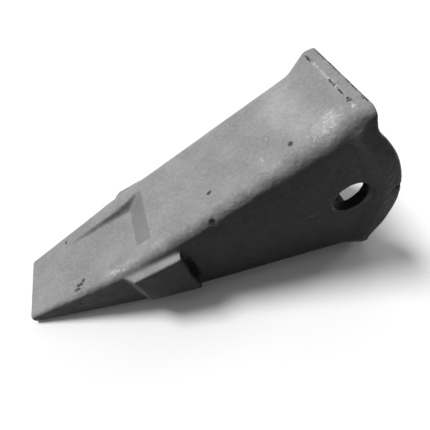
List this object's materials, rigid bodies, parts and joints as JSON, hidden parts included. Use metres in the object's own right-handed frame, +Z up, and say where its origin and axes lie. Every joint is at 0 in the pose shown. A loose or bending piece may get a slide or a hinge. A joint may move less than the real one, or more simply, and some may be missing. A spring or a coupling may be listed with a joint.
{
  "type": "ripper shank tooth",
  "caption": "Cast steel ripper point: a blunt wedge with a flared collar, a tapering socket for the shank's nose and a cross pin bore.",
  "frame": {"origin": "centre of the bounding box, on the floor the tooth rests on", "axes": "+X from the tip to the socket's mouth, +Z up, +Y along the cross pin bore"},
  "size_m": [0.3272, 0.107, 0.1657],
  "materials": {
    "cast_steel": "grey painted casting, slightly glossy"
  },
  "bodies": {
    "root": {"tooth": "cast_steel"}
  },
  "joints": []
}
